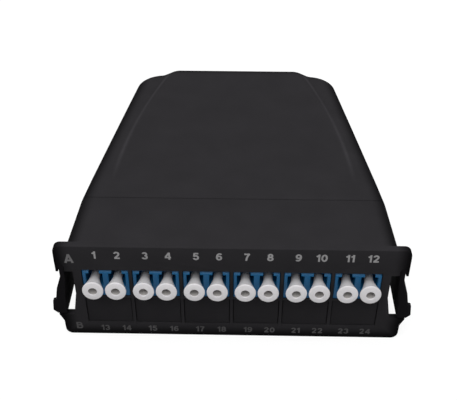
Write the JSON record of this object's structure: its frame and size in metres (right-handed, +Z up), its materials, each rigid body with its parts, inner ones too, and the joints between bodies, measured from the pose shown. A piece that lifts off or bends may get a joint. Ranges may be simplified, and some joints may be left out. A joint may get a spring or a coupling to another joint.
{
  "type": "fibre cassette",
  "caption": "Black tapered patch panel cassette with blue duplex LC ports under white dust caps, side latches and a rear multi-fibre port.",
  "frame": {"origin": "faceplate's front face, middle of its bottom edge", "axes": "+X to the right seen from the front, +Y rearward into the bay, +Z up"},
  "size_m": [0.1014, 0.1141, 0.034],
  "materials": {
    "black_moulding": "fine texture",
    "adapter_blue": "semi gloss",
    "cap_white": "satin",
    "cap_plastic_black": "satin",
    "plug_plastic": "semi gloss",
    "zirconia": "polished",
    "steel": "plated",
    "fibre_buffer": "smooth"
  },
  "bodies": {
    "cassette": {"front_bezel": "black_moulding", "base_tray": "black_moulding", "top_cover": "black_moulding", "retainer_frame": "black_moulding", "alignment_sleeves": "zirconia", "mpo_adapter": "black_moulding", "mpo_plug": "plug_plastic", "mpo_screws": "steel", "cover_screws": "steel", "fan_out_fibres": "fibre_buffer", "lc_adapter_1": "adapter_blue", "blank_plug_1": "black_moulding", "lc_adapter_2": "adapter_blue", "blank_plug_2": "black_moulding", "lc_adapter_3": "adapter_blue", "blank_plug_3": "black_moulding", "lc_adapter_4": "adapter_blue", "blank_plug_4": "black_moulding", "lc_adapter_5": "adapter_blue", "blank_plug_5": "black_moulding", "lc_adapter_6": "adapter_blue", "blank_plug_6": "black_moulding", "lc_plug_01": "plug_plastic", "lc_plug_02": "plug_plastic", "lc_plug_03": "plug_plastic", "lc_plug_04": "plug_plastic", "lc_plug_05": "plug_plastic", "lc_plug_06": "plug_plastic", "lc_plug_07": "plug_plastic", "lc_plug_08": "plug_plastic", "lc_plug_09": "plug_plastic", "lc_plug_10": "plug_plastic", "lc_plug_11": "plug_plastic", "lc_plug_12": "plug_plastic"},
    "latch_left": {"latch_left": "black_moulding"},
    "latch_right": {"latch_right": "black_moulding"},
    "mpo_dust_cap": {"mpo_dust_cap": "cap_plastic_black"},
    "dust_cap_01": {"dust_cap_01": "cap_white"},
    "dust_cap_02": {"dust_cap_02": "cap_white"},
    "dust_cap_03": {"dust_cap_03": "cap_white"},
    "dust_cap_04": {"dust_cap_04": "cap_white"},
    "dust_cap_05": {"dust_cap_05": "cap_white"},
    "dust_cap_06": {"dust_cap_06": "cap_white"},
    "dust_cap_07": {"dust_cap_07": "cap_white"},
    "dust_cap_08": {"dust_cap_08": "cap_white"},
    "dust_cap_09": {"dust_cap_09": "cap_white"},
    "dust_cap_10": {"dust_cap_10": "cap_white"},
    "dust_cap_11": {"dust_cap_11": "cap_white"},
    "dust_cap_12": {"dust_cap_12": "cap_white"}
  },
  "joints": [
    {"name": "latch_left_press", "type": "hinge", "parent": "cassette", "child": "latch_left", "pos_m": [-0.0466, 0.004, 0.0262], "axis": [0, -1, 0], "range_deg": [0, 6], "stiffness_Nm_per_rad": 0.05},
    {"name": "latch_right_press", "type": "hinge", "parent": "cassette", "child": "latch_right", "pos_m": [0.0466, 0.004, 0.0262], "axis": [0, 1, 0], "range_deg": [0, 6], "stiffness_Nm_per_rad": 0.05},
    {"name": "mpo_cap_pull", "type": "slide", "parent": "cassette", "child": "mpo_dust_cap", "axis": [0, 1, 0], "range_m": [0, 0.012]},
    {"name": "cap_01_pull", "type": "slide", "parent": "cassette", "child": "dust_cap_01", "axis": [0, -1, 0], "range_m": [0, 0.012]},
    {"name": "cap_02_pull", "type": "slide", "parent": "cassette", "child": "dust_cap_02", "axis": [0, -1, 0], "range_m": [0, 0.012]},
    {"name": "cap_03_pull", "type": "slide", "parent": "cassette", "child": "dust_cap_03", "axis": [0, -1, 0], "range_m": [0, 0.012]},
    {"name": "cap_04_pull", "type": "slide", "parent": "cassette", "child": "dust_cap_04", "axis": [0, -1, 0], "range_m": [0, 0.012]},
    {"name": "cap_05_pull", "type": "slide", "parent": "cassette", "child": "dust_cap_05", "axis": [0, -1, 0], "range_m": [0, 0.012]},
    {"name": "cap_06_pull", "type": "slide", "parent": "cassette", "child": "dust_cap_06", "axis": [0, -1, 0], "range_m": [0, 0.012]},
    {"name": "cap_07_pull", "type": "slide", "parent": "cassette", "child": "dust_cap_07", "axis": [0, -1, 0], "range_m": [0, 0.012]},
    {"name": "cap_08_pull", "type": "slide", "parent": "cassette", "child": "dust_cap_08", "axis": [0, -1, 0], "range_m": [0, 0.012]},
    {"name": "cap_09_pull", "type": "slide", "parent": "cassette", "child": "dust_cap_09", "axis": [0, -1, 0], "range_m": [0, 0.012]},
    {"name": "cap_10_pull", "type": "slide", "parent": "cassette", "child": "dust_cap_10", "axis": [0, -1, 0], "range_m": [0, 0.012]},
    {"name": "cap_11_pull", "type": "slide", "parent": "cassette", "child": "dust_cap_11", "axis": [0, -1, 0], "range_m": [0, 0.012]},
    {"name": "cap_12_pull", "type": "slide", "parent": "cassette", "child": "dust_cap_12", "axis": [0, -1, 0], "range_m": [0, 0.012]}
  ]
}
